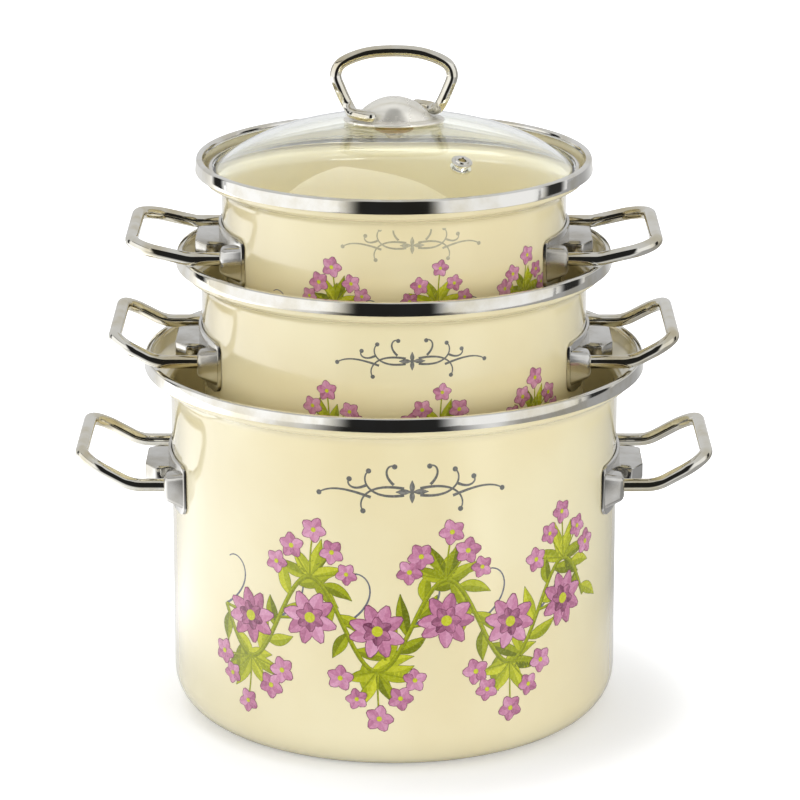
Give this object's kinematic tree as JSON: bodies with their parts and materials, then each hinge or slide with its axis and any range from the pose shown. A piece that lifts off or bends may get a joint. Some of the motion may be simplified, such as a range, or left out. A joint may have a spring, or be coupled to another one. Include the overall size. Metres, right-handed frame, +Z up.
{
  "type": "stacked enamel pot set",
  "caption": "Cream enamelled steel pots nested by their wire handles on each other's rims, with steel rim bands and a glass lid with a wire loop.",
  "frame": {"origin": "centre of the large pot's base, on the surface that it stands on", "axes": "+Z up; +X to the right through the side handles; +Y to the back, away from the printed front"},
  "size_m": [0.2886, 0.2274, 0.3085],
  "materials": {
    "cream_enamel": "glossy fired enamel, cream",
    "steel": "polished stainless steel",
    "lid_glass": "clear tempered glass, faint green",
    "gasket": "amber silicone"
  },
  "bodies": {
    "large_pot": {"large_pot_shell": "cream_enamel", "large_pot_rim_band": "steel", "large_left_bracket": "steel", "large_left_handle": "steel", "large_right_bracket": "steel", "large_right_handle": "steel"},
    "medium_pot": {"medium_pot_shell": "cream_enamel", "medium_pot_rim_band": "steel", "medium_left_bracket": "steel", "medium_left_handle": "steel", "medium_right_bracket": "steel", "medium_right_handle": "steel"},
    "small_pot": {"small_pot_shell": "cream_enamel", "small_pot_rim_band": "steel", "small_left_bracket": "steel", "small_left_handle": "steel", "small_right_bracket": "steel", "small_right_handle": "steel"},
    "lid": {"lid_glass": "lid_glass", "lid_rim_band": "steel", "lid_vent_eyelet": "steel", "lid_knob_base": "steel", "lid_knob_loop": "steel", "lid_knob_gasket": "gasket", "lid_knob_screw": "steel", "lid_knob_washer": "gasket"}
  },
  "joints": [
    {"name": "medium_pot_lift", "type": "slide", "parent": "large_pot", "child": "medium_pot", "axis": [0, 0, 1], "range_m": [0, 0.1]},
    {"name": "small_pot_lift", "type": "slide", "parent": "medium_pot", "child": "small_pot", "axis": [0, 0, 1], "range_m": [0, 0.09]},
    {"name": "lid_lift", "type": "slide", "parent": "small_pot", "child": "lid", "axis": [0, 0, 1], "range_m": [0, 0.06]}
  ]
}
